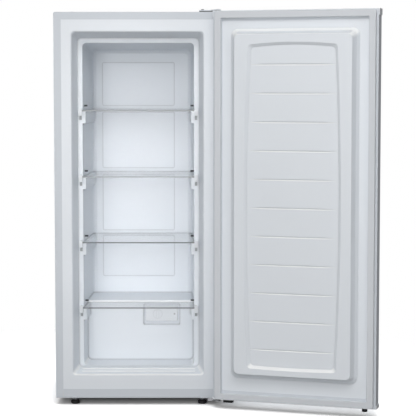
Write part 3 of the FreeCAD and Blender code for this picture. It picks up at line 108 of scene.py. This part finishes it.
def tint(nodes, links, source, first, second):
    """Colour that drifts between two close shades."""
    ramp = nodes.new("ShaderNodeValToRGB")
    for element, place, colour in zip(ramp.color_ramp.elements, NOISE_SPAN, (first, second)):
        element.position = place
        element.color = (*colour, 1)
    links.new(source, ramp.inputs["Fac"])
    return ramp.outputs["Color"]


def painted_shade_factor(nodes, links, reach, darkest, own=False):
    """A painted shade factor from ambient occlusion: 1 down to `darkest` where surfaces, or only its own ones,
    are within `reach` metres.
    """
    nearby = nodes.new("ShaderNodeAmbientOcclusion")
    nearby.only_local = own
    nearby.inputs["Distance"].default_value = reach
    nearby.samples = OCCLUSION_SAMPLES
    shade = nodes.new("ShaderNodeMapRange")
    shade.inputs["From Min"].default_value, shade.inputs["From Max"].default_value = OPENNESS
    shade.inputs["To Min"].default_value = darkest
    shade.inputs["To Max"].default_value = 1.0
    links.new(nearby.outputs["AO"], shade.inputs["Value"])
    return shade.outputs["Result"]


def paint_crease_shade(nodes, links, colour, reach, darkest, own=False):
    """The colour with painted shade: darker in grooves and inner corners up to `reach` metres wide."""
    darker = nodes.new("ShaderNodeVectorMath")
    darker.operation = "SCALE"
    links.new(colour, darker.inputs["Vector"])
    links.new(painted_shade_factor(nodes, links, reach, darkest, own), darker.inputs["Scale"])
    return darker.outputs["Vector"]


def paint_bevel_highlight(nodes, links, colour):
    """The colour, made paler on the faces of a bevel that turn up: a painted highlight where a glossy moulding
    catches the light.
    """
    geometry = nodes.new("ShaderNodeNewGeometry")
    axes = nodes.new("ShaderNodeSeparateXYZ")
    links.new(geometry.outputs["True Normal"], axes.inputs["Vector"])
    bevel = nodes.new("ShaderNodeValToRGB")
    for element, place, value in zip(bevel.color_ramp.elements, BEVEL_RISE, (UNCHANGED, PAINTED_BEVEL_HIGHLIGHT)):
        element.position = place
        element.color = value
    for place, value in zip(BEVEL_FALL, (PAINTED_BEVEL_HIGHLIGHT, UNCHANGED)):
        bevel.color_ramp.elements.new(place).color = value
    links.new(axes.outputs["Z"], bevel.inputs["Fac"])
    paler = nodes.new("ShaderNodeVectorMath")
    paler.operation = "MULTIPLY"
    links.new(colour, paler.inputs[0])
    links.new(bevel.outputs["Color"], paler.inputs[1])
    return paler.outputs["Vector"]


def surface(name, first, second, rough, metallic=0.0, grain=500.0, depth=0.00004, mottle=6.0, coat=0.0,
            sheen=0.0, specular=0.5, crease_shade=None, bevel_highlight=False):
    """Moulded or painted surface: slow colour drift, uneven gloss and a fine bump, and where asked, painted
    shade in grooves and corners and a painted highlight on bevel faces that turn up.
    """
    material, nodes, links, shader = new_material(name)
    slow = place_texture(nodes, links, mottle)
    slow.inputs["Detail"].default_value = 3.0
    fine = place_texture(nodes, links, grain)
    fine.inputs["Detail"].default_value = 2.0
    colour = tint(nodes, links, slow.outputs["Fac"], first, second)
    # painted shade in grooves and inner corners
    if crease_shade:
        colour = paint_crease_shade(nodes, links, colour, *crease_shade)
    # painted highlight: bevel faces that turn up are made paler
    if bevel_highlight:
        colour = paint_bevel_highlight(nodes, links, colour)
    links.new(colour, shader.inputs["Base Color"])
    links.new(spread(nodes, links, slow.outputs["Fac"], *rough), shader.inputs["Roughness"])
    bump = nodes.new("ShaderNodeBump")
    bump.inputs["Distance"].default_value = depth
    links.new(fine.outputs["Fac"], bump.inputs["Height"])
    links.new(bump.outputs["Normal"], shader.inputs["Normal"])
    shader.inputs["Metallic"].default_value = metallic
    shader.inputs["Coat Weight"].default_value = coat
    shader.inputs["Sheen Weight"].default_value = sheen
    shader.inputs["Specular IOR Level"].default_value = specular
    return material


def glass(name):
    """Clear toughened glass: see-through on its faces, with a whitish veil that thickens at grazing angles, a
    painted reflection that also holds back light and so casts a light shadow, dense and grey in its front and
    rear edges.
    """
    material, nodes, links, shader = new_material(name)
    slow = place_texture(nodes, links, 9.0)
    geometry = nodes.new("ShaderNodeNewGeometry")
    axes = nodes.new("ShaderNodeSeparateXYZ")
    links.new(geometry.outputs["True Normal"], axes.inputs["Vector"])
    ends, sides = nodes.new("ShaderNodeMath"), nodes.new("ShaderNodeMath")
    ends.operation = sides.operation = "ABSOLUTE"
    links.new(axes.outputs["Y"], ends.inputs[0])
    links.new(axes.outputs["X"], sides.inputs[0])
    edge_on = nodes.new("ShaderNodeMath")
    edge_on.operation = "MULTIPLY_ADD"
    edge_on.inputs[1].default_value = GLASS_SIDES
    links.new(sides.outputs["Value"], edge_on.inputs[0])
    links.new(ends.outputs["Value"], edge_on.inputs[2])
    colour = nodes.new("ShaderNodeMix")
    colour.data_type = "RGBA"
    colour.inputs["B"].default_value = GLASS_EDGE_COLOUR
    links.new(edge_on.outputs["Value"], colour.inputs["Factor"])
    links.new(tint(nodes, links, slow.outputs["Fac"], (0.92, 0.935, 0.95), (0.90, 0.92, 0.94)),
              colour.inputs["A"])
    links.new(colour.outputs["Result"], shader.inputs["Base Color"])
    # painted reflection: the faces turn more solid and whitish at grazing angles, which also holds back some
    # light for a light real shadow
    grazing = nodes.new("ShaderNodeLayerWeight")
    grazing.inputs["Blend"].default_value = GLASS_GRAZING
    veil = nodes.new("ShaderNodeMapRange")
    veil.inputs["To Min"].default_value, veil.inputs["To Max"].default_value = GLASS_VEIL
    links.new(grazing.outputs["Facing"], veil.inputs["Value"])
    density = nodes.new("ShaderNodeMix")
    shadow = nodes.new("ShaderNodeLightPath")
    edge = nodes.new("ShaderNodeMapRange")
    edge.inputs["To Min"].default_value = GLASS_EDGE
    edge.inputs["To Max"].default_value = GLASS_EDGE_SHADOW
    links.new(shadow.outputs["Is Shadow Ray"], edge.inputs["Value"])
    links.new(edge.outputs["Result"], density.inputs["B"])
    links.new(edge_on.outputs["Value"], density.inputs["Factor"])
    links.new(veil.outputs["Result"], density.inputs["A"])
    inside = nodes.new("ShaderNodeMapRange")
    inside.inputs["To Min"].default_value = 1.0
    inside.inputs["To Max"].default_value = GLASS_BEHIND
    links.new(geometry.outputs["Backfacing"], inside.inputs["Value"])
    alpha = nodes.new("ShaderNodeMath")
    alpha.operation = "MULTIPLY"
    links.new(density.outputs["Result"], alpha.inputs[0])
    links.new(inside.outputs["Result"], alpha.inputs[1])
    links.new(alpha.outputs["Value"], shader.inputs["Alpha"])
    links.new(spread(nodes, links, slow.outputs["Fac"], 0.03, 0.05), shader.inputs["Roughness"])
    shader.inputs["IOR"].default_value = GLASS_IOR
    return material


# ------------------------------------------------------------------ materials
MATERIALS = {
    "white_steel": surface("powder_coat", (0.650, 0.687, 0.732), (0.657, 0.693, 0.737), (0.42, 0.46),
                           grain=420.0, depth=0.00005, specular=0.4),
    # the liner's colour carries painted shade in its grooves and corners and painted highlights on bevels that
    # face up
    "white_liner": surface("vacuum_formed_liner", (0.796, 0.832, 0.874), (0.803, 0.839, 0.880), (0.34, 0.38),
                           grain=160.0, depth=0.00005, crease_shade=(0.009, 0.55, True), bevel_highlight=True),
    # painted shade in narrow corners and where other parts come close
    "white_plastic": surface("moulded_white", (0.775, 0.802, 0.832), (0.783, 0.810, 0.838), (0.40, 0.45),
                             grain=900.0, depth=0.00003, crease_shade=(0.003, 0.8)),
    "door_seal": surface("soft_seal", (0.672, 0.697, 0.732), (0.682, 0.707, 0.740), (0.55, 0.61), grain=700.0,
                         depth=0.00004, sheen=0.1),
    "shelf_glass": glass("toughened_glass"),
    "insulation": surface("rigid_foam", (0.78, 0.70, 0.46), (0.86, 0.79, 0.55), (0.8, 0.95), grain=1100.0,
                          depth=0.0004),
    "zinc_steel": surface("zinc_plate", (0.50, 0.51, 0.53), (0.62, 0.63, 0.66), (0.32, 0.5), metallic=1.0,
                          grain=240.0, depth=0.00005, mottle=60.0),
    "black_plastic": surface("black_moulding", (0.012, 0.012, 0.014), (0.022, 0.022, 0.024), (0.42, 0.56),
                             grain=900.0, depth=0.00006),
    "black_rubber": surface("black_rubber", (0.015, 0.015, 0.015), (0.028, 0.028, 0.028), (0.7, 0.85),
                            grain=700.0, depth=0.00008),
    "black_steel": surface("black_enamel", (0.012, 0.012, 0.013), (0.02, 0.02, 0.022), (0.28, 0.42),
                           grain=260.0, depth=0.00012, coat=0.2),
    "copper_tube": surface("drawn_copper", (0.62, 0.30, 0.18), (0.76, 0.40, 0.26), (0.24, 0.4), metallic=1.0,
                           grain=300.0, depth=0.00004, mottle=40.0),
    "aluminium_plate": surface("mill_aluminium", (0.70, 0.71, 0.73), (0.78, 0.79, 0.80), (0.3, 0.45),
                               metallic=1.0, grain=300.0, depth=0.00004, mottle=30.0),
    "screw_steel": surface("screw_zinc", (0.48, 0.49, 0.50), (0.60, 0.61, 0.62), (0.3, 0.45), metallic=1.0,
                           grain=900.0, depth=0.00003, mottle=90.0),
}


def dress_nodes():
    """Gives every CAD node the material of its slot in the record."""
    for part in frame["record"]["subparts"]:
        node = NODES[part["node"]]
        node.data.materials.clear()
        node.data.materials.append(MATERIALS[part["material_slot"]])


# ------------------------------------------------------------------ stage
def by_ray(nodes, links, elsewhere, seen):
    """The value `seen` for what the camera sees and `elsewhere` for light that bounces."""
    path = nodes.new("ShaderNodeLightPath")
    remap = nodes.new("ShaderNodeMapRange")
    remap.inputs["To Min"].default_value = elsewhere
    remap.inputs["To Max"].default_value = seen
    links.new(path.outputs["Is Camera Ray"], remap.inputs["Value"])
    return remap.outputs["Result"]


def make_world():
    """A white surround, dim as light and plain white to the camera."""
    world = bpy.data.worlds.new("studio")
    world.use_nodes = True
    bpy.context.scene.world = world
    nodes, links = world.node_tree.nodes, world.node_tree.links
    background = nodes["Background"]
    background.inputs["Color"].default_value = (1, 1, 1, 1)
    links.new(by_ray(nodes, links, SKY, WHITE), background.inputs["Strength"])


def make_floor():
    """Pale floor that shows white apart from the object's shadow, which is cast and, close under the object,
    also painted, and fades into the backdrop.
    """
    bpy.ops.mesh.primitive_plane_add(size=FLOOR_SIZE, location=FLOOR_AT)
    floor = bpy.context.object
    floor.name = "floor"
    material = bpy.data.materials.new("pale_floor")
    material.use_nodes = True
    nodes, links = material.node_tree.nodes, material.node_tree.links
    nodes.clear()
    matte = nodes.new("ShaderNodeBsdfDiffuse")
    grey = nodes.new("ShaderNodeMath")
    grey.operation = "MULTIPLY"
    links.new(by_ray(nodes, links, FLOOR_BOUNCE, FLOOR_SEEN), grey.inputs[0])
    # painted shadow under the object, on top of the cast one
    links.new(painted_shade_factor(nodes, links, FLOOR_NEAR, FLOOR_UNDER), grey.inputs[1])
    links.new(grey.outputs["Value"], matte.inputs["Color"])
    backdrop = nodes.new("ShaderNodeEmission")
    links.new(by_ray(nodes, links, SKY, WHITE), backdrop.inputs["Strength"])
    geometry = nodes.new("ShaderNodeNewGeometry")
    distance = nodes.new("ShaderNodeVectorMath")
    distance.operation = "DISTANCE"
    distance.inputs[1].default_value = CABINET
    links.new(geometry.outputs["Position"], distance.inputs[0])
    fade = nodes.new("ShaderNodeMapRange")
    fade.interpolation_type = "SMOOTHSTEP"
    fade.inputs["From Min"].default_value, fade.inputs["From Max"].default_value = FLOOR_FADE
    links.new(distance.outputs["Value"], fade.inputs["Value"])
    both = nodes.new("ShaderNodeMixShader")
    links.new(fade.outputs["Result"], both.inputs["Fac"])
    links.new(matte.outputs["BSDF"], both.inputs[1])
    links.new(backdrop.outputs["Emission"], both.inputs[2])
    output = nodes.new("ShaderNodeOutputMaterial")
    links.new(both.outputs["Shader"], output.inputs["Surface"])
    floor.data.materials.append(material)
    return floor


def all_but(unlit):
    """A light linking group that leaves out one object."""
    group = bpy.data.collections.new(f"all_but_{unlit.name}")
    group.objects.link(unlit)
    group.collection_objects[0].light_linking.link_state = "EXCLUDE"
    return group


def soft_lamp(name, at, aim, size, power, spread_angle, lit):
    """Rectangular lamp, placed and aimed from the middle of the cabinet's base; None lights everything."""
    lamp = bpy.data.lights.new(name, "AREA")
    lamp.shape = "RECTANGLE"
    lamp.size, lamp.size_y = size
    lamp.energy = power
    lamp.spread = math.radians(spread_angle)
    holder = bpy.data.objects.new(name, lamp)
    holder.location = CABINET + Vector(at)
    holder.rotation_euler = (Vector(aim) - Vector(at)).to_track_quat("-Z", "Y").to_euler()
    holder.visible_camera = False
    holder.light_linking.receiver_collection = lit
    bpy.context.scene.collection.objects.link(holder)


def make_camera():
    """The photograph's camera."""
    lens = bpy.data.cameras.new("camera")
    lens.lens = LENS
    lens.sensor_width = SENSOR
    camera = bpy.data.objects.new("camera", lens)
    camera.location = CAMERA_AT
    camera.rotation_euler = (math.radians(90.0 - CAMERA_TILT), 0.0, 0.0)
    bpy.context.scene.collection.objects.link(camera)
    bpy.context.scene.camera = camera


def main():
    make_camera()
    make_world()
    object_only = all_but(make_floor())
    for name, at, aim, size, power, spread_angle, on_floor in LAMPS:
        soft_lamp(name, at, aim, size, power, spread_angle, None if on_floor else object_only)
    dress_nodes()
    bpy.context.scene.view_settings.view_transform = "Standard"


main()
